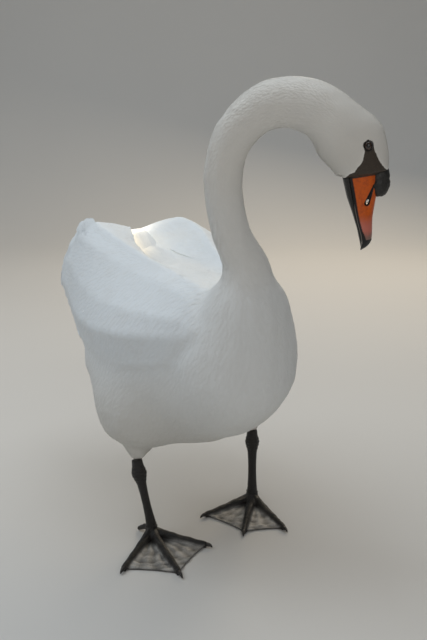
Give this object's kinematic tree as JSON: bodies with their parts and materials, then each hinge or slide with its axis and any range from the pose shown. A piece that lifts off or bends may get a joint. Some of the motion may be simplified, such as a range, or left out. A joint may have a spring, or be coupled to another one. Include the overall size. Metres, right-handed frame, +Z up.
{
  "type": "mute swan",
  "caption": "Life-size still model of an adult mute swan standing on both feet, neck arched over, bill down, wings half raised.",
  "frame": {"origin": "floor point under the middle of the bounding box", "axes": "+X the way the breast faces, +Y to the bird's left, +Z up"},
  "size_m": [0.7691, 0.3154, 0.7174],
  "materials": {
    "feather": "soft white contour feathers, matt, with a faint warm cast on the neck",
    "flight_feather": "white vaned wing and tail feathers, matt with a slight silk",
    "bill_horn": "orange horn, paler pink towards the tip, satin",
    "bill_black": "black horn and bare skin, satin",
    "eye": "very dark brown eye, wet gloss",
    "leg_skin": "dark grey to black scaly skin, satin, greyer on the webs",
    "claw": "black horn, worn paler at the tips"
  },
  "bodies": {
    "root": {"bill_knob": "bill_black", "bill_lower": "bill_black", "bill_nail": "bill_black", "bill_upper": "bill_horn", "claw_left_inner": "claw", "claw_left_middle": "claw", "claw_left_outer": "claw", "claw_right_inner": "claw", "claw_right_middle": "claw", "claw_right_outer": "claw", "eye_left": "eye", "eye_right": "eye", "foot_left": "leg_skin", "foot_right": "leg_skin", "head": "feather", "neck_lower": "feather", "neck_middle": "feather", "neck_upper": "feather", "primaries_left": "flight_feather", "primaries_right": "flight_feather", "shank_left": "leg_skin", "shank_right": "leg_skin", "tail": "flight_feather", "thigh_left": "feather", "thigh_right": "feather", "trunk": "feather", "wing_left": "flight_feather", "wing_right": "flight_feather"}
  },
  "joints": []
}
